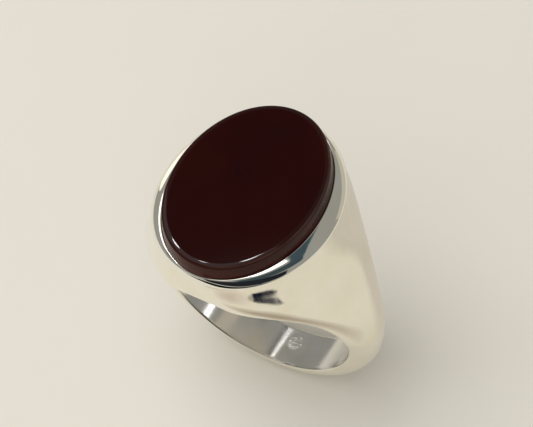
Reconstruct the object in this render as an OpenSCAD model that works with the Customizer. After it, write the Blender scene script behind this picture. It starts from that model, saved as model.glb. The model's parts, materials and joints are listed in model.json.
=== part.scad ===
// Signet ring: a cast silver body, an oval silver bezel and a flat-topped carnelian.
// Origin at the centre of the finger bore, X from shoulder to shoulder, Y along the finger,
// Z up through the middle of the stone.

/* [Finger bore] */
// Diameter of the finger bore
bore_d = 19.4; // [18:0.1:21]

/* [Shank] */
// Thickness of the shank at the bottom
shank_t = 2.05; // [1.6:0.05:2.3]
// Width of the shank at the bottom
shank_w = 4; // [3:0.1:6]
// How late the silver thickens toward the head
swell = 13.5; // [8:0.5:14]
// How late the shank starts to widen toward the head
flare_start = 5.05; // [4:0.05:6]
// How soon the widening shoulder reaches the width of the head
flare_end = 4.35; // [3:0.05:5]
// How lean the middle of the shoulder is between the shank and the head
leanness = 0.35; // [0:0.05:1]

/* [Stone] */
// Length of the oval stone along the finger
stone_l = 18.4; // [17:0.1:19]
// Width of the oval stone across the finger
stone_w = 14.1; // [13:0.1:15]
// Height of the stone's flat top above the lip of the bezel
stone_proud = 1.5; // [1:0.05:1.8]
// Width of the rounded edge around the flat top
edge_w = 0.5; // [0.4:0.05:0.9]
// Slope of the stone's side in from the girdle to the lip
girdle_taper = 0.12; // [0.05:0.01:0.2]

/* [Head] */
// Height of the lip above the top of the bore
lip_h = 4.25; // [4:0.05:4.6]
// Silver left between the bore and the floor of the recess
floor_t = 2.2; // [2:0.05:2.4]
// Depth of the cement that the stone lies on
bed_t = 0.15; // [0.1:0.01:0.25]
// Thickness of the bezel's wall in the recess
bezel_t = 0.15; // [0.12:0.01:0.18]
// Distance that the bezel's slope runs out beyond the stone at the shoulders
slope_w = 1.25; // [1:0.05:1.4]
// Distance that the bezel's slope runs out beyond the stone at its two ends
slope_l = 0.28; // [0.26:0.01:0.4]
// Height of the bezel's slope
slope_h = 0.85; // [0.8:0.05:1]

/* [Hidden] */
$fn = 96;
oval_points = 96;

silver = [0.83, 0.81, 0.76];
cement = [0.72, 0.66, 0.55];
carnelian = [0.17, 0.04, 0.03];

bore_r = bore_d / 2;
floor_z = bore_r + floor_t;
lip_z = bore_r + lip_h;
top_z = lip_z + stone_proud;
rim_z = lip_z - slope_h;
base_z = floor_z + bed_t;

// Heights and widths of the bezel and the stone's side
girdle_drop = 0.75;
girdle_z = lip_z - girdle_drop;
base_bevel = 0.15;
lip_land = 0.08;
rim_x = stone_w / 2 + slope_w;
rim_y = stone_l / 2 + slope_l;

// The rim of the head as a distance and an angle, turning from the bottom of the shank
rim_r = norm([rim_x, rim_z]);
rim_turn = 90 + atan2(rim_z, rim_x);

// Stations along the shank and the shoulder, and points along half of each section
shank_stations = 14;
shoulder_stations = 16;
section_points = 10;
stations = shank_stations + shoulder_stations;

// Silver over the bore at an angle from the bottom of the shank
function thickness(turn) =
    shank_t + (rim_r - bore_r - shank_t) * pow(turn / rim_turn, swell);

// Middle of the outer surface at that angle, as [x, z]
function crest(turn) = (bore_r + thickness(turn)) * [sin(turn), -cos(turn)];

// Height of the crest as a share of the head's height: negative below the bore's axis
function rise(turn) = crest(turn)[1] / rim_z;

// Half the width along the finger at a height
function half_width(z) =
    let (low = bore_r + shank_t, climb = min(1, max(0, (z + low) / (rim_z + low))))
    shank_w / 2 + (rim_y - shank_w / 2) * (1 - pow(1 - pow(climb, flare_start), flare_end));

// How far a section curves inward from its crest before its side runs straight.
// It starts a little deeper than the shank is thick, and ends as nearly the whole oval.
shank_curl = 1.15;
head_curl = 0.98;
curl_growth = 1.2;
function section_depth(turn) =
    let (shank = shank_curl * thickness(min(turn, 90)), head = head_curl * rim_x)
    shank + (head - shank) * pow(max(0, rise(turn)), curl_growth);

// Power of the section's curve: 1 is an ellipse and more is leaner
function section_power(turn) =
    let (h = max(0, rise(turn)))
    1 + 4 * leanness * h * (1 - h);

// Sections point at the bore's axis on the shank and lie level on the shoulders
function inward(turn) = turn <= 90 ? [-sin(turn), cos(turn)] : [-1, 0];

// One point of a section, from the crest at 0 degrees to the side at 90
function section_point(turn, a) =
    let (dip = section_depth(turn) * (1 - pow(cos(a), section_power(turn))),
         flat = crest(turn) + dip * inward(turn))
    [flat[0], half_width(crest(turn)[1]) * sin(a), flat[1]];

// The middle of the ring at a station, which all of the shank's sections share
function centre_point(turn) = [0, half_width(max(0, crest(turn)[1])), max(0, crest(turn)[1])];

function turn_at(i) =
    i <= shank_stations
        ? 90 * i / shank_stations
        : 90 + (rim_turn - 90) * (i - shank_stations) / shoulder_stations;

// A closed loop of points round the ring at a station: +Y middle, +X side, -Y middle, -X side
function station(i) =
    let (turn = turn_at(i),
         half = [for (k = [section_points : -1 : 0]) section_point(turn, 90 * k / section_points)],
         back = [for (k = [1 : section_points]) section_point(turn, 90 * k / section_points)],
         side = concat(half, [for (p = back) [p[0], -p[1], p[2]]]),
         other = [for (k = [len(side) - 1 : -1 : 0]) [-side[k][0], side[k][1], side[k][2]]],
         mid = centre_point(turn))
    concat([mid], side, [[mid[0], -mid[1], mid[2]]], other);

loop_len = 4 * section_points + 4;
half_len = loop_len / 2;

// The two sides meet along the bottom section, and the shank's sections share their middle
function index(i, k) =
    (k == 0 || k == half_len) && i <= shank_stations
        ? k
        : (i == 0 && k > half_len ? loop_len - k : i * loop_len + k);

function is_triangle(t) = t[0] != t[1] && t[1] != t[2] && t[2] != t[0];

module outer_form() {
    points = [for (i = [0 : stations]) each station(i)];
    walls = [
        for (i = [0 : stations - 1], k = [0 : loop_len - 1])
            let (next = (k + 1) % loop_len,
                 a = index(i, k), b = index(i, next),
                 c = index(i + 1, next), d = index(i + 1, k))
            each [[a, b, c], [a, c, d]]
    ];
    top = [for (k = [0 : loop_len - 1]) index(stations, k)];
    polyhedron(points, concat([for (t = walls) if (is_triangle(t)) t], [top]), convexity = 6);
}

// The stone's outline, run out or in by a distance across and along the finger
function oval(across, along) = [
    for (i = [0 : oval_points - 1])
        let (a = 360 * i / oval_points)
        [(stone_w / 2 + across) * cos(a), (stone_l / 2 + along) * sin(a)]
];

// A profile point that lies outside the stone by an even distance
function even(out, z) = [out, out, z];

// A solid round the oval, from a profile of [distance across, distance along, height] points.
// A looped profile makes a collar, and an open one makes a disc with flat ends.
module oval_solid(profile, looped = false) {
    rows = len(profile);
    last = looped ? rows - 1 : rows - 2;
    points = [for (p = profile) for (q = oval(p[0], p[1])) [q[0], q[1], p[2]]];
    walls = [
        for (i = [0 : last], k = [0 : oval_points - 1])
            let (up = ((i + 1) % rows) * oval_points, low = i * oval_points,
                 next = (k + 1) % oval_points)
            each [[low + k, up + k, up + next], [low + k, up + next, low + next]]
    ];
    bottom = [for (k = [0 : oval_points - 1]) k];
    top = [for (k = [oval_points - 1 : -1 : 0]) (rows - 1) * oval_points + k];
    polyhedron(points, concat(walls, looped ? [] : [bottom, top]), convexity = 4);
}

module ring_body() {
    color(silver) difference() {
        outer_form();
        rotate([90, 0, 0]) cylinder(r = bore_r, h = 3 * rim_y, center = true);
        translate([0, 0, floor_z]) linear_extrude(lip_h) polygon(oval(bezel_t, bezel_t));
    }
}

// The bezel stands in the recess, leans in over the stone and rolls over to the head's rim
module bezel() {
    land = lip_land - girdle_taper;
    slope = [
        for (a = [0 : 10 : 90])
            land * [1, 1, 0]
                + [(slope_w - land) * sin(a), (slope_l - land) * sin(a), rim_z + slope_h * cos(a)]
    ];
    color(silver) oval_solid(concat(
        [even(bezel_t, floor_z), even(0, floor_z), even(0, girdle_z), even(-girdle_taper, lip_z)],
        slope,
        [even(bezel_t, rim_z)]
    ), looped = true);
}

module setting_bed() {
    color(cement) translate([0, 0, floor_z]) linear_extrude(bed_t) polygon(oval(0, 0));
}

// The stone's side leans in under the lip and rolls over to its flat top
module stone() {
    edge = [
        for (a = [0 : 7.5 : 90])
            even(-girdle_taper - edge_w * (1 - cos(a)), lip_z + stone_proud * sin(a))
    ];
    color(carnelian) oval_solid(concat(
        [even(-base_bevel, base_z), even(0, base_z + base_bevel), even(0, girdle_z)],
        edge
    ));
}

ring_body();
bezel();
setting_bed();
stone();
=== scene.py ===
"""A polished silver signet ring with a dark carnelian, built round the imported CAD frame."""
import json
import math

import bmesh
import bpy
import numpy as np
from mathutils import Matrix, Vector


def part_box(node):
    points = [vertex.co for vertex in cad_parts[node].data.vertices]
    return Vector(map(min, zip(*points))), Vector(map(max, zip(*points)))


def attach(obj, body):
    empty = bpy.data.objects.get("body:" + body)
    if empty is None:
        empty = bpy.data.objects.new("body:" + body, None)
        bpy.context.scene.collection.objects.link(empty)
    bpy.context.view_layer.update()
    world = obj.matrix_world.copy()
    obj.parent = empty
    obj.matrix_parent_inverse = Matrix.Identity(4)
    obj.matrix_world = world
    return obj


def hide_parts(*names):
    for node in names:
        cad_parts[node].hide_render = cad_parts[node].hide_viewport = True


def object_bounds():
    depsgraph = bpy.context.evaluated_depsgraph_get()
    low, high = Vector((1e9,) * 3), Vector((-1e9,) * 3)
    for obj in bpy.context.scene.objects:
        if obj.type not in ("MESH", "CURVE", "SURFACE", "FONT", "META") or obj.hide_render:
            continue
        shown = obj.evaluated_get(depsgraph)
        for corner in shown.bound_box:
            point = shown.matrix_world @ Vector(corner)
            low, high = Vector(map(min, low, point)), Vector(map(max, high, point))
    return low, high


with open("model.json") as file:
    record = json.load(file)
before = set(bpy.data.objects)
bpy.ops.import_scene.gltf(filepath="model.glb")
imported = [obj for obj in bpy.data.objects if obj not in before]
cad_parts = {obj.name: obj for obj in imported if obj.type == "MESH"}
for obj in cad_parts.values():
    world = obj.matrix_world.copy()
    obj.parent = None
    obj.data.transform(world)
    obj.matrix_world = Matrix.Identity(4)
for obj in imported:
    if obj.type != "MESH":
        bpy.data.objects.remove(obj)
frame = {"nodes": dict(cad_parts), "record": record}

MM = 0.001
cad_low, cad_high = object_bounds()
record = frame["record"]

# ---------------------------------------------------------------- sizes from the CAD frame
body_low, body_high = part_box("ring_body")
bezel_low, bezel_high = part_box("bezel")
stone_low, stone_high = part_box("stone")

bore_r = record["mounts"][0]["dims"]["r_mm"] * MM
shank_t = -body_low.z - bore_r
rim_x, rim_y, rim_z = bezel_high.x, bezel_high.y, body_high.z
lip_z, floor_z = bezel_high.z, bezel_low.z
stone_x, stone_y, top_z = stone_high.x, stone_high.y, stone_high.z
base_z = stone_low.z

# The form's own settings, as in the CAD part
SHANK_W = 4.0 * MM
SWELL = 13.5
FLARE_START, FLARE_END = 5.05, 4.35
LEANNESS = 0.35
SHANK_CURL, HEAD_CURL, CURL_GROWTH = 1.15, 0.98, 1.2
GIRDLE_TAPER = 0.12 * MM
GIRDLE_DROP = 0.75 * MM
BEZEL_T = 0.15 * MM
LIP_LAND = 0.08 * MM
BASE_BEVEL = 0.15 * MM

rim_r = math.hypot(rim_x, rim_z)
rim_turn = math.pi / 2 + math.atan2(rim_z, rim_x)


# ---------------------------------------------------------------- the ring's outer form
def thickness(turn):
    """Silver over the bore at a turn from the bottom of the shank."""
    return shank_t + (rim_r - bore_r - shank_t) * (turn / rim_turn) ** SWELL


def crest(turn):
    """Middle of the outer surface at that turn, as x and z."""
    r = bore_r + thickness(turn)
    return r * math.sin(turn), -r * math.cos(turn)


def half_width(z):
    """Half the width along the finger at a height."""
    low = bore_r + shank_t
    climb = min(1.0, max(0.0, (z + low) / (rim_z + low)))
    flare = 1 - (1 - climb ** FLARE_START) ** FLARE_END
    return SHANK_W / 2 + (rim_y - SHANK_W / 2) * flare


def rise(turn):
    """Height of the crest as a share of the head's, or 0 below the bore's axis."""
    return max(0.0, crest(turn)[1] / rim_z)


def section_depth(turn):
    """How far a section curves inward before its side runs straight."""
    shank = SHANK_CURL * thickness(min(turn, math.pi / 2))
    return shank + (HEAD_CURL * rim_x - shank) * rise(turn) ** CURL_GROWTH


def section_power(turn):
    """Power of a section's curve: 1 is an ellipse and more is leaner."""
    h = rise(turn)
    return 1 + 4 * LEANNESS * h * (1 - h)


BISECTIONS = 60


def turn_at_level(z):
    """The turn whose crest is at height z, for z from 0 up to the rim."""
    low, high = math.pi / 2, rim_turn
    for _ in range(BISECTIONS):
        mid = (low + high) / 2
        if crest(mid)[1] < z:
            low = mid
        else:
            high = mid
    return (low + high) / 2


SECTION_SAMPLES = 400


def section(turn, end):
    """Half a section as (depth from the crest, y), run on straight or cut short to depth end."""
    depth, power = section_depth(turn), section_power(turn)
    wide = half_width(crest(turn)[1])
    a = np.linspace(0, math.pi / 2, SECTION_SAMPLES)
    dip = depth * (1 - np.cos(a) ** power)
    y = wide * np.sin(a)
    if end > depth:
        return np.append(dip, end), np.append(y, wide)
    keep = dip < end
    a_end = math.acos(max(0.0, 1 - end / depth) ** (1 / power))
    return np.append(dip[keep], end), np.append(y[keep], wide * math.sin(a_end))


def spaced(dip, y, count):
    """count + 1 evenly spaced points along a section."""
    run = np.concatenate([[0], np.cumsum(np.hypot(np.diff(dip), np.diff(y)))])
    at = np.linspace(0, run[-1], count + 1)
    return np.interp(at, run, dip), np.interp(at, run, y)


# ---------------------------------------------------------------- mesh helpers
MERGE_DISTANCE = 1e-7
SLIVER = 1e-8
SHARP_ANGLE = math.radians(40)


def make_object(name, points, faces, smooth=True):
    """A mesh object with its doubles merged, its normals outward and its hard edges sharp."""
    bm = bmesh.new()
    verts = [bm.verts.new(p) for p in points]
    for f in faces:
        unique = list(dict.fromkeys(f))
        if len(unique) > 2:
            bm.faces.new([verts[i] for i in unique])
    bmesh.ops.remove_doubles(bm, verts=bm.verts, dist=MERGE_DISTANCE)
    bmesh.ops.dissolve_degenerate(bm, dist=SLIVER, edges=bm.edges)
    bmesh.ops.recalc_face_normals(bm, faces=bm.faces)
    for f in bm.faces:
        f.smooth = smooth
    for e in bm.edges:
        if len(e.link_faces) == 2 and e.calc_face_angle(0) > SHARP_ANGLE:
            e.smooth = False
    mesh = bpy.data.meshes.new(name)
    bm.to_mesh(mesh)
    bm.free()
    obj = bpy.data.objects.new(name, mesh)
    bpy.context.scene.collection.objects.link(obj)
    return obj


def make_piece(name, grid, node):
    """A piece of the ring that takes the place of one CAD node."""
    obj = make_object(name, grid.points, grid.faces)
    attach(obj, "root")
    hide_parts(node)
    return obj


class Grid:
    """Collects rows of points into one point list and quads between rows."""

    def __init__(self):
        self.points, self.faces = [], []

    def patch(self, rows, closed=False):
        start = len(self.points)
        width = len(rows[0])
        for row in rows:
            self.points.extend(tuple(p) for p in row)
        for i in range(len(rows) - 1):
            for k in range(width if closed else width - 1):
                a, b = start + i * width + k, start + i * width + (k + 1) % width
                self.faces.append((a, b, b + width, a + width))

    def cap(self, row):
        start = len(self.points)
        self.points.extend(tuple(p) for p in row)
        self.faces.append(tuple(range(start, start + len(row))))


def mirrored(rows):
    """The same rows on the -X side."""
    return [[(-x, y, z) for x, y, z in row] for row in rows]


# ---------------------------------------------------------------- ring body
ROUND_OUT = 0.22 * MM   # how far above the bore the rounded edge starts
ROUND_IN = 0.26 * MM    # how far into the bore it ends
SHANK_ROWS, ARCH_ROWS, HEAD_ROWS = 72, 64, 26
HALF_COLUMNS = 60
ROUND_STEPS = 6
BORE_COLUMNS = 40

raised = bore_r + ROUND_OUT
SHANK_TURNS = [math.pi / 2 * i / SHANK_ROWS for i in range(SHANK_ROWS)]
ARCH_TURNS = [math.pi / 2 * (1 + i / ARCH_ROWS) for i in range(ARCH_ROWS + 1)]


def outer_row(turn, end):
    """One section right across the ring on the +X side, from -Y round the crest to +Y."""
    dip, y = spaced(*section(turn, end), HALF_COLUMNS)
    cx, cz = crest(turn)
    if turn <= math.pi / 2:
        ix, iz = -math.sin(turn), math.cos(turn)
    else:
        ix, iz = -1.0, 0.0
    half = [(cx + d * ix, w, cz + d * iz) for d, w in zip(dip, y)]
    return [(x, -w, z) for x, w, z in half[:0:-1]] + half


def edge_y(phi, radius):
    """Half the width of the ring where a line at that radius and bore angle leaves it."""
    if phi <= math.pi / 2:
        return section(phi, thickness(phi) + bore_r - radius)[1][-1]
    x, z = radius * math.sin(phi), -radius * math.cos(phi)
    turn = turn_at_level(z)
    return section(turn, crest(turn)[0] - x)[1][-1]


def outer_rows():
    """All the sections of the +X side, from the bottom of the shank up to the rim."""
    rows = [outer_row(t, thickness(t) - ROUND_OUT) for t in SHANK_TURNS]
    for phi in ARCH_TURNS:
        x, z = raised * math.sin(phi), -raised * math.cos(phi)
        turn = turn_at_level(z)
        rows.append(outer_row(turn, crest(turn)[0] - x))
    for i in range(1, HEAD_ROWS + 1):
        z = raised + (rim_z - raised) * i / HEAD_ROWS
        turn = turn_at_level(z)
        rows.append(outer_row(turn, crest(turn)[0]))
    return rows


def rounded_edge(out, corner, deep):
    """A quadratic curve from the outer side round the corner into the bore."""
    curve = []
    for k in range(ROUND_STEPS + 1):
        t = k / ROUND_STEPS
        curve.append(tuple((1 - t) ** 2 * out + 2 * t * (1 - t) * corner + t * t * deep))
    return curve


def inner_rows():
    """The bore and the rounded edges on both its ends, for the +X side."""
    rows = []
    for phi in SHANK_TURNS + ARCH_TURNS:
        out = np.array([raised * math.sin(phi), edge_y(phi, raised), -raised * math.cos(phi)])
        y_corner = edge_y(phi, bore_r)
        x, z = bore_r * math.sin(phi), -bore_r * math.cos(phi)
        y_deep = y_corner - ROUND_IN
        curve = rounded_edge(out, np.array([x, y_corner, z]), np.array([x, y_deep, z]))
        bore = [(x, y_deep * (1 - 2 * k / BORE_COLUMNS), z) for k in range(1, BORE_COLUMNS)]
        back = [(px, -py, pz) for px, py, pz in reversed(curve)]
        rows.append(curve + bore + back)
    return rows


def all_round(side):
    """A section of the +X side run on round the -X side."""
    return side + [(-x, y, z) for x, y, z in reversed(side)]


def build_body():
    """The body's grid, and the outline of its rim that the bezel joins."""
    grid = Grid()
    rows, inner = outer_rows(), inner_rows()
    for panel in (rows, mirrored(rows), inner, mirrored(inner)):
        grid.patch(panel)

    # The ledge under the bezel and the recess
    outline = all_round(rows[-1])
    recess = [oval_point(BEZEL_T, angle_of(p), rim_z) for p in outline]
    low = [(x, y, floor_z) for x, y, z in recess]
    grid.patch([outline, recess, low], closed=True)
    grid.cap(low[:-1])
    return grid, outline


def oval_point(out, angle, z):
    """A point on the stone's outline, run out by a distance."""
    return ((stone_x + out) * math.cos(angle), (stone_y + out) * math.sin(angle), z)


def angle_of(p):
    """The oval's angle at a point of the rim."""
    return math.atan2(p[1] / rim_y, p[0] / rim_x)


# ---------------------------------------------------------------- bezel
SLOPE_STEPS = 22
LIP_ROUND = 0.07 * MM
LIP_SOFTEN = 0.3        # share of the lip's round that its second point takes
LIP_GAP = 0.02 * MM     # hairline between the stone and the lip
UNDER_RIM = 0.15 * MM   # how far under the rim the shoulder's direction is measured

# The slope's curve: how far its two ends hold their direction
LIP_HOLD = 0.42
LIP_DROP = 0.05
FOOT_HOLD = 0.34
LEAST_RISE = 0.5


def slope_profile(foot, below, angle):
    """The rolled slope at one angle, nearly flat at the lip and running on into the shoulder."""
    lip = np.array(oval_point(LIP_GAP + LIP_LAND - GIRDLE_TAPER, angle, lip_z))
    foot, below = np.array(foot), np.array(below)
    along = (foot - below) / np.linalg.norm(foot - below)
    outward = np.array([foot[0] - lip[0], foot[1] - lip[1], 0])
    height = lip_z - rim_z
    p1 = lip + LIP_HOLD * outward - np.array([0, 0, LIP_DROP * height])
    p2 = foot + FOOT_HOLD * height * along / max(along[2], LEAST_RISE)
    points = []
    for k in range(SLOPE_STEPS + 1):
        t = k / SLOPE_STEPS
        points.append((1 - t) ** 3 * lip + 3 * t * (1 - t) ** 2 * p1
                      + 3 * t * t * (1 - t) * p2 + t ** 3 * foot)
    return points


def build_bezel(outline):
    """A closed collar, one profile for each point of the ring body's outline."""
    under_turn = turn_at_level(rim_z - UNDER_RIM)
    below = all_round(outer_row(under_turn, crest(under_turn)[0]))
    bite = LIP_GAP - GIRDLE_TAPER
    soft = LIP_SOFTEN * LIP_ROUND
    profiles = []
    for foot, under in zip(outline, below):
        a = angle_of(foot)
        inside = [oval_point(BEZEL_T, a, rim_z), oval_point(BEZEL_T, a, floor_z),
                  oval_point(0, a, floor_z), oval_point(0, a, lip_z - GIRDLE_DROP),
                  oval_point(bite, a, lip_z - LIP_ROUND),
                  oval_point(bite + soft, a, lip_z - soft)]
        profiles.append(inside + slope_profile(foot, under, a))
    grid = Grid()
    rows = [[tuple(p[i]) for p in profiles] for i in range(len(profiles[0]))]
    grid.patch(rows + [rows[0]], closed=True)
    return grid


# ---------------------------------------------------------------- stone
STONE_POINTS = 256
ROLL_STEPS = 36
ROLL_W = 0.50 * MM          # how far in from the side the flat top starts to roll over
ROLL_TILT = math.radians(76)
BEVEL_TILT = math.radians(6.5)
BEVEL_START = 0.06          # share of the roll in which the soft bevel begins
ROLL_GROWTH = 2.4           # how late the roll tightens
SIDE_LEAN = 0.12 * MM       # how far the side leans in from the lip up to the roll
TOP_INSET = 0.04 * MM       # a narrow flat ring that keeps the polished top's shading flat


def roll_profile():
    """The roll from the flat top outward, as distances in from its foot and below the top."""
    x, z, run = 0.0, 0.0, [(0.0, 0.0)]
    for k in range(ROLL_STEPS):
        share = (k + 0.5) / ROLL_STEPS
        tilt = (BEVEL_TILT * math.tanh(share / BEVEL_START)
                + (ROLL_TILT - BEVEL_TILT) * share ** ROLL_GROWTH)
        x += math.cos(tilt)
        z += math.sin(tilt)
        run.append((x, z))
    scale = ROLL_W / x
    return [((x - a) * scale, b * scale) for a, b in run]


def build_stone():
    """The base, the girdle, the side and the roll up to the flat top."""
    profile = [(-BASE_BEVEL, base_z), (0, base_z + BASE_BEVEL), (0, lip_z - GIRDLE_DROP),
               (-GIRDLE_TAPER, lip_z)]
    side_in = GIRDLE_TAPER + SIDE_LEAN
    for back, drop in reversed(roll_profile()):
        profile.append((-side_in - back, top_z - drop))
    profile.append((-side_in - ROLL_W - TOP_INSET, top_z))
    angles = [2 * math.pi * i / STONE_POINTS for i in range(STONE_POINTS)]
    rows = [[oval_point(out, a, z) for a in angles] for out, z in profile]
    grid = Grid()
    grid.patch(rows, closed=True)
    grid.cap(rows[0])
    grid.cap(rows[-1])
    return grid


# ---------------------------------------------------------------- material helpers
BLACK = (0, 0, 0)


def new_material(name):
    """A node tree that holds one Principled shader."""
    mat = bpy.data.materials.new(name)
    mat.use_nodes = True
    tree = mat.node_tree
    tree.nodes.clear()
    out = tree.nodes.new("ShaderNodeOutputMaterial")
    shader = tree.nodes.new("ShaderNodeBsdfPrincipled")
    tree.links.new(shader.outputs[0], out.inputs[0])
    return mat, tree, shader


def feed(tree, socket, value):
    """Link another node's output to a socket, or set the socket to a plain value."""
    if isinstance(value, bpy.types.NodeSocket):
        tree.links.new(value, socket)
    else:
        socket.default_value = value


def object_place(tree):
    """A point's place in the object, in metres."""
    return tree.nodes.new("ShaderNodeTexCoord").outputs["Object"]


def split(tree, vector):
    node = tree.nodes.new("ShaderNodeSeparateXYZ")
    feed(tree, node.inputs[0], vector)
    return node.outputs["X"], node.outputs["Y"], node.outputs["Z"]


def joined(tree, x, y, z):
    node = tree.nodes.new("ShaderNodeCombineXYZ")
    for socket, value in zip(node.inputs, (x, y, z)):
        feed(tree, socket, value)
    return node.outputs[0]


def noise(tree, place, scale, detail=2.0, roughness=0.5, distortion=0.0):
    """Cloudy grey between 0 and 1."""
    node = tree.nodes.new("ShaderNodeTexNoise")
    feed(tree, node.inputs["Vector"], place)
    node.inputs["Scale"].default_value = scale
    node.inputs["Detail"].default_value = detail
    node.inputs["Roughness"].default_value = roughness
    node.inputs["Distortion"].default_value = distortion
    return node.outputs["Fac"]


def ramp(tree, value, stops):
    """Colours along a value, given as (position, colour) stops from low to high."""
    node = tree.nodes.new("ShaderNodeValToRGB")
    elements = node.color_ramp.elements
    for element, (position, colour) in zip(elements, (stops[0], stops[-1])):
        element.position, element.color = position, (*colour, 1)
    for position, colour in stops[1:-1]:
        elements.new(position).color = (*colour, 1)
    feed(tree, node.inputs["Fac"], value)
    return node.outputs["Color"]


def remap(tree, value, low=0.0, high=1.0, to_low=0.0, to_high=1.0):
    """A value from one range carried to another and held inside it."""
    node = tree.nodes.new("ShaderNodeMapRange")
    feed(tree, node.inputs["Value"], value)
    node.inputs["From Min"].default_value = low
    node.inputs["From Max"].default_value = high
    node.inputs["To Min"].default_value = to_low
    node.inputs["To Max"].default_value = to_high
    return node.outputs["Result"]


def calculate(tree, operation, *values):
    node = tree.nodes.new("ShaderNodeMath")
    node.operation = operation
    for socket, value in zip(node.inputs, values):
        feed(tree, socket, value)
    return node.outputs[0]


def calculate_vector(tree, operation, *vectors):
    node = tree.nodes.new("ShaderNodeVectorMath")
    node.operation = operation
    for socket, vector in zip(node.inputs, vectors):
        feed(tree, socket, vector)
    return node.outputs["Value" if operation in ("LENGTH", "DISTANCE") else "Vector"]


def blend(tree, kind, share, base, extra):
    """Multiply or add a share of an extra colour into the base colour."""
    node = tree.nodes.new("ShaderNodeMix")
    node.data_type, node.blend_type = "RGBA", kind
    feed(tree, node.inputs[0], share)
    for socket, colour in zip([i for i in node.inputs if i.type == "RGBA"], (base, extra)):
        feed(tree, socket, colour)
    return next(o for o in node.outputs if o.type == "RGBA")


def bump(tree, height, strength, distance, under=None):
    """A bumped normal, laid over another one where that is given."""
    node = tree.nodes.new("ShaderNodeBump")
    node.inputs["Strength"].default_value = strength
    node.inputs["Distance"].default_value = distance
    feed(tree, node.inputs["Height"], height)
    if under is not None:
        feed(tree, node.inputs["Normal"], under)
    return node.outputs["Normal"]


# ---------------------------------------------------------------- materials
# Painted shade: this tint darkens and cools the silver inside the bore; the bore mask below
# carries it along with the duller finish.
BORE_PAINTED_SHADE_TINT = (0.79, 0.81, 0.88, 1)
BORE_DULLNESS = 0.08
BORE_SKIN = 0.01 * MM, 0.12 * MM    # where the duller finish of the bore starts to end, and ends
LINE_STRETCH = (900.0, 14000.0, 900.0)
LINE_DEPTH = 0.02 * MM
WAVE_DEPTH = 0.05 * MM
PUNCH_MARK = (1.6 * MM, 0.6 * MM, -9.6 * MM)
PUNCH_REACH = 0.6 * MM, 0.9 * MM
PUNCH_DEPTH = 0.1 * MM


def bore_mask(tree, place):
    """1 inside the bore and 0 outside it, from the distance to the finger's axis."""
    x, _, z = split(tree, place)
    radius = calculate_vector(tree, "LENGTH", joined(tree, x, 0.0, z))
    return remap(tree, radius, bore_r + BORE_SKIN[1], bore_r + BORE_SKIN[0])


def polish_lines(tree, place):
    """Fine lines that run round the finger."""
    stretch = tree.nodes.new("ShaderNodeMapping")
    stretch.inputs["Scale"].default_value = LINE_STRETCH
    feed(tree, stretch.inputs["Vector"], place)
    return noise(tree, stretch.outputs["Vector"], 1.0, detail=4.0, roughness=0.6)


def punch_pits(tree, place):
    """A small plain pitted patch inside the shank."""
    away = calculate_vector(tree, "DISTANCE", place, PUNCH_MARK)
    near = remap(tree, away, PUNCH_REACH[1], PUNCH_REACH[0])
    pits = noise(tree, place, 5200.0, detail=1.0)
    return calculate(tree, "MULTIPLY", pits, near)


def silver_material(name, tone, rough, line_strength, wave_strength):
    """Hand-polished silver: cloudy tone, polish lines round the finger, a duller bore darkened
    and cooled as painted shade.
    """
    mat, tree, shader = new_material(name)
    shader.inputs["Metallic"].default_value = 1.0
    place = object_place(tree)
    bore = bore_mask(tree, place)

    cloud = noise(tree, place, 420.0, detail=3.0, roughness=0.55)
    darker = (0.95 * tone[0], 0.95 * tone[1], 0.9 * tone[2])
    tones = ramp(tree, cloud, ((0.32, darker), (0.68, tone)))
    # Painted shade: the colour is darkened and cooled inside the bore.
    feed(tree, shader.inputs["Base Color"], blend(tree, "MULTIPLY", bore, tones, BORE_PAINTED_SHADE_TINT))

    lines = polish_lines(tree, place)
    mixed = calculate(tree, "MULTIPLY", lines, cloud)
    roughness = remap(tree, mixed, 0.17, 0.35, *rough)
    feed(tree, shader.inputs["Roughness"],
         calculate(tree, "MULTIPLY_ADD", bore, BORE_DULLNESS, roughness))

    # Soft waves left by hand polishing, then the fine lines, then the punch mark
    waves = bump(tree, noise(tree, place, 330.0), wave_strength, WAVE_DEPTH)
    lined = bump(tree, lines, line_strength, LINE_DEPTH, waves)
    punched = bump(tree, punch_pits(tree, place), 0.22, PUNCH_DEPTH, lined)
    feed(tree, shader.inputs["Normal"], punched)
    return mat


def carnelian_material():
    """Dark polished stone, redder at its side, with a pale line along the rolled edge that fades
    in toward +X.
    """
    mat, tree, shader = new_material("carnelian")
    place = object_place(tree)
    x, _, z = split(tree, place)
    cloud = noise(tree, place, 110.0, detail=4.0, distortion=0.6)
    tones = ramp(tree, cloud, ((0.32, (0.0165, 0.0036, 0.0036)),
                               (0.72, (0.0235, 0.0046, 0.0034))))

    # Height up the side: 0 at the lip and 1 at the flat top
    height = remap(tree, z, lip_z, top_z)
    side = ramp(tree, height, ((0.0, (0.036, 0.002, 0.0)), (0.86, (0.016, 0.002, 0.0)),
                               (0.98, BLACK)))
    # A patchy pale line along the rolled edge, fading in toward +X.
    pale_edge_line = ramp(tree, height, ((0.88, BLACK), (0.93, (0.06, 0.042, 0.034)), (0.98, BLACK)))
    outer = remap(tree, x, 0.1 * stone_x, 0.7 * stone_x)
    patchy = remap(tree, noise(tree, place, 260.0), 0.3, 0.65, to_low=0.45)
    sided = blend(tree, "ADD", patchy, tones, side)
    pale_line_share = calculate(tree, "MULTIPLY", patchy, outer)
    feed(tree, shader.inputs["Base Color"], blend(tree, "ADD", pale_line_share, sided, pale_edge_line))

    wiped = noise(tree, place, 900.0, detail=5.0, roughness=0.6)
    feed(tree, shader.inputs["Roughness"], remap(tree, wiped, to_low=0.02, to_high=0.07))
    shader.inputs["IOR"].default_value = 1.54
    shader.inputs["Specular IOR Level"].default_value = 0.15
    return mat


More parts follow.
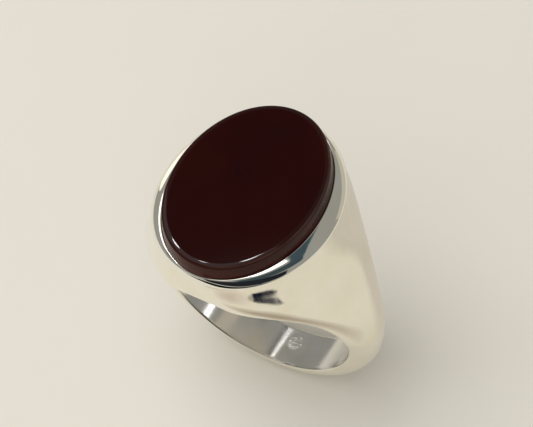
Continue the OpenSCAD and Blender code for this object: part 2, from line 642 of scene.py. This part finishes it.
def cement_material():
    """Rough pale cement, hidden under the stone."""
    mat, tree, shader = new_material("setting_cement")
    grain = noise(tree, object_place(tree), 3000.0, detail=6.0)
    tones = ramp(tree, grain, ((0.0, (0.36, 0.3, 0.22)), (1.0, (0.6, 0.53, 0.42))))
    feed(tree, shader.inputs["Base Color"], tones)
    shader.inputs["Roughness"].default_value = 0.85
    feed(tree, shader.inputs["Normal"], bump(tree, grain, 0.4, 0.05 * MM))
    return mat


def floor_material():
    """A plain pale table with a very faint mottle."""
    mat, tree, shader = new_material("pale_table")
    mottle = noise(tree, object_place(tree), 60.0)
    tones = ramp(tree, mottle, ((0.0, (0.785, 0.755, 0.69)), (1.0, (0.805, 0.78, 0.72))))
    feed(tree, shader.inputs["Base Color"], tones)
    shader.inputs["Roughness"].default_value = 0.7
    return mat


# ---------------------------------------------------------------- build the pieces
body_grid, rim_outline = build_body()
body = make_piece("ring_body_silver", body_grid, "ring_body")
bezel = make_piece("bezel_silver", build_bezel(rim_outline), "bezel")
stone = make_piece("carnelian_stone", build_stone(), "stone")

# Partly painted reflection colour: the same silver is toned warmer on the body and nearer
# neutral on the bezel, after what each reflects.
ring_silver = silver_material("ring_silver", (0.95, 0.91, 0.81), (0.03, 0.09), 0.12, 0.3)
bezel_silver = silver_material("bezel_silver", (0.94, 0.92, 0.87), (0.03, 0.07), 0.05, 0.04)
body.data.materials.append(ring_silver)
bezel.data.materials.append(bezel_silver)
stone.data.materials.append(carnelian_material())
bed = frame["nodes"]["setting_bed"]
bed.data.materials.clear()
bed.data.materials.append(cement_material())

# ---------------------------------------------------------------- stage
FLOOR_HALF = 1.5
CARD_POINTS = 64
CARD_LIFT = 0.05 * MM   # a card on the table lies just above it
PLAIN_WHITE, WARM_WHITE = (1, 1, 1), (1.0, 0.98, 0.95)
OVAL, RECTANGLE = "ELLIPSE", "RECTANGLE"


def flat(name, half_width, half_height, z=0.0, oval=False):
    """A level rectangle or oval at a height."""
    w, h = half_width, half_height
    points = [(-w, -h, z), (w, -h, z), (w, h, z), (-w, h, z)]
    if oval:
        angles = [2 * math.pi * i / CARD_POINTS for i in range(CARD_POINTS)]
        points = [(w * math.cos(a), h * math.sin(a), z) for a in angles]
    return make_object(name, points, [tuple(range(len(points)))], smooth=False)


def sky(azimuth, elevation):
    """Unit direction from the ring: azimuth 0 is -Y and turns toward +X, in degrees."""
    a, e = math.radians(azimuth), math.radians(elevation)
    return Vector((math.sin(a) * math.cos(e), -math.cos(a) * math.cos(e), math.sin(e)))


def facing(azimuth, elevation, turn, distance):
    """Placement of a flat thing that faces the ring, its width turned up from level."""
    toward = sky(azimuth, elevation)
    a, t = math.radians(azimuth), math.radians(turn)
    level = Vector((math.cos(a), math.sin(a), 0))
    up = toward.cross(level)
    width = level * math.cos(t) + up * math.sin(t)
    height = up * math.cos(t) - level * math.sin(t)
    placed = Matrix((width, height, toward)).transposed().to_4x4()
    placed.translation = toward * distance
    return placed


def on_table(x, y, turn):
    """Placement flat on the table, at a distance in mm from the ring's centre."""
    placed = Matrix.Rotation(math.radians(turn), 4, "Z")
    placed.translation = (x * MM, y * MM, cad_low.z + CARD_LIFT)
    return placed


def area_light(name, placed, size, radiance, colour=PLAIN_WHITE, shape=OVAL):
    """A lamp of an even brightness over its whole face."""
    share = math.pi / 4 if shape == OVAL else 1
    data = bpy.data.lights.new(name, "AREA")
    data.shape = shape
    data.size, data.size_y = size
    data.energy = radiance * math.pi * share * size[0] * size[1]
    data.color = colour
    lamp = bpy.data.objects.new(name, data)
    lamp.matrix_world = placed
    bpy.context.scene.collection.objects.link(lamp)
    return lamp


def highlight(piece, name, placed, size, radiance, colour=PLAIN_WHITE, shape=OVAL):
    """A lamp that shows as a reflection on one piece and lights nothing else."""
    lamp = area_light(name, placed, size, radiance, colour, shape)
    lit = bpy.data.collections.new(name + "_lights")
    lit.objects.link(piece)
    lamp.light_linking.receiver_collection = lit
    lamp.visible_diffuse = False


def card(name, placed, size, colour, oval=False, soft=0.0):
    """A flat card that is seen only in reflections, fading over the soft share of its edge."""
    w, h = size[0] / 2, size[1] / 2
    obj = flat(name, w, h, oval=oval)
    obj.matrix_world = placed
    mat, tree, shader = new_material(name)
    shader.inputs["Base Color"].default_value = (*BLACK, 1)
    shader.inputs["Roughness"].default_value = 1.0
    shader.inputs["Specular IOR Level"].default_value = 0.0
    shader.inputs["Emission Color"].default_value = (*colour, 1)
    shader.inputs["Emission Strength"].default_value = 1.0
    if soft:
        share = calculate_vector(tree, "DIVIDE", object_place(tree), (w, h, 1))
        out = calculate_vector(tree, "LENGTH", share)
        feed(tree, shader.inputs["Alpha"], remap(tree, out, 1.0, 1.0 - soft))
    obj.data.materials.append(mat)
    obj.visible_camera = False
    obj.visible_shadow = False
    obj.visible_diffuse = False


def soft_card(name, placed, size, colour, soft):
    """An oval card with a soft edge."""
    card(name, placed, size, colour, oval=True, soft=soft)


floor = flat("floor", FLOOR_HALF, FLOOR_HALF, cad_low.z)
floor.data.materials.append(floor_material())

world = bpy.data.worlds.new("room")
bpy.context.scene.world = world
world.use_nodes = True
background = world.node_tree.nodes["Background"]
background.inputs["Color"].default_value = (1.0, 0.985, 0.9, 1)
background.inputs["Strength"].default_value = 0.31

# The light of the room: a window on the -X side and a wide soft fill that has no reflection
area_light("window", facing(-91, 62.5, 0, 0.6), (0.42, 0.62), 1.3352, WARM_WHITE, RECTANGLE)
fill = area_light("fill", facing(-15, 58, 0, 1.0), (2.0, 2.0), 1.06, WARM_WHITE)
fill.visible_glossy = False

# White along the bezel's lip and its -X side
highlight(bezel, "skylight", facing(110.6, 81.5, 48, 0.5), (0.25, 0.15), 1.4137, PLAIN_WHITE,
          RECTANGLE)
highlight(bezel, "bright_wall", facing(-118, 8, 0, 0.7), (0.3, 0.34), 0.85, (1.0, 0.97, 0.88))

# Short bright arcs on the stone's rolled edge
highlight(stone, "bulb_left", facing(-117, 59, 93, 0.5), (0.026, 0.06), 64.0)
highlight(stone, "bulb_middle", facing(-124, 66, 133, 0.5), (0.018, 0.05), 34.0)
highlight(stone, "bulb_right", facing(-144, 69, 6, 0.5), (0.026, 0.06), 64.0)

# Two bright marks and a brown patch in the bore
highlight(body, "bulb_far", facing(118, 29, -29, 0.5), (0.12, 0.045), 3.0)
highlight(body, "brown_wall", facing(129, 48, 0, 0.6), (0.12, 0.22), 0.22, (1.0, 0.78, 0.5))
highlight(body, "streak", facing(-134, 54, 45, 0.5), (0.08, 0.022), 2.0)

# Dark and pale things round the ring that the silver and the stone reflect
card("ceiling_beam", facing(-141, 55, 0, 0.5), (0.045, 0.045), (0.004, 0.004, 0.005))
card("photographer", facing(33, 16, 0, 0.5), (0.8, 0.42), (0.016, 0.018, 0.022))
card("shoulder_cloth", facing(64, 48, 0, 0.55), (0.49, 0.234), (0.045, 0.065, 0.075))
card("sleeve", facing(120, 64.4, 38.6, 0.5), (0.445, 0.0875), (0.045, 0.075, 0.09))
card("pale_wall", facing(150, 9, 0, 0.7), (0.56, 0.34), (0.5, 0.47, 0.38))
card("dark_door", facing(-62, 36, 0, 0.6), (0.26, 0.24), (0.04, 0.05, 0.055))

# Things on the table that the flank and the shoulder reflect, and two sheets of painted table
# shadow
card("table_edge", on_table(60, -150, 22), (0.24, 0.18), (0.012, 0.012, 0.014))
soft_card("pen", on_table(22.8, -23.4, 45), (0.0165, 0.0027), (0.008, 0.009, 0.024), 0.15)
soft_card("pink_note", on_table(8, -33, 10), (0.036, 0.012), (0.6, 0.52, 0.46), 0.8)
soft_card("brown_strap", on_table(-1.6, -37, 0), (0.012, 0.004), (0.07, 0.03, 0.022), 0.3)
# Painted shadow: a sheet where the ring's own shade falls on the table near the flank, seen only
# in reflection.
soft_card("near_shade", on_table(13, -15.5, 42), (0.036, 0.012), (0.4, 0.34, 0.28), 0.8)
# Painted shadow: a sheet where the ring's shade falls on the table beyond it, darkening the
# shoulder's reflection.
soft_card("far_shade", on_table(15, 26, 42), (0.066, 0.046), (0.57, 0.53, 0.47), 0.4)

# ---------------------------------------------------------------- camera
CAMERA_AZIMUTH, CAMERA_ELEVATION, CAMERA_ROLL = 39.81, 55.54, 11.41
CAMERA_DISTANCE = 485.8 * MM
CAMERA_TARGET = Vector((-0.717, 2.846, 6.764)) * MM
CAMERA_LENS = 371.7
CAMERA_SENSOR = 36.0
CAMERA_CLIP = 0.01, 20.0


def make_camera():
    """A long lens that looks at the target, turned by its roll."""
    data = bpy.data.cameras.new("camera")
    data.lens = CAMERA_LENS
    data.sensor_width = CAMERA_SENSOR
    data.clip_start, data.clip_end = CAMERA_CLIP
    camera = bpy.data.objects.new("camera", data)
    back = sky(CAMERA_AZIMUTH, CAMERA_ELEVATION)
    right = Vector((0, 0, 1)).cross(back).normalized()
    up = back.cross(right)
    turn = math.radians(CAMERA_ROLL)
    right, up = (right * math.cos(turn) - up * math.sin(turn),
                 up * math.cos(turn) + right * math.sin(turn))
    axes = Matrix((right, up, back)).transposed()
    camera.matrix_world = axes.to_4x4()
    camera.location = CAMERA_TARGET + back * CAMERA_DISTANCE
    bpy.context.scene.collection.objects.link(camera)
    bpy.context.scene.camera = camera


make_camera()
bpy.context.scene.view_settings.view_transform = "Standard"
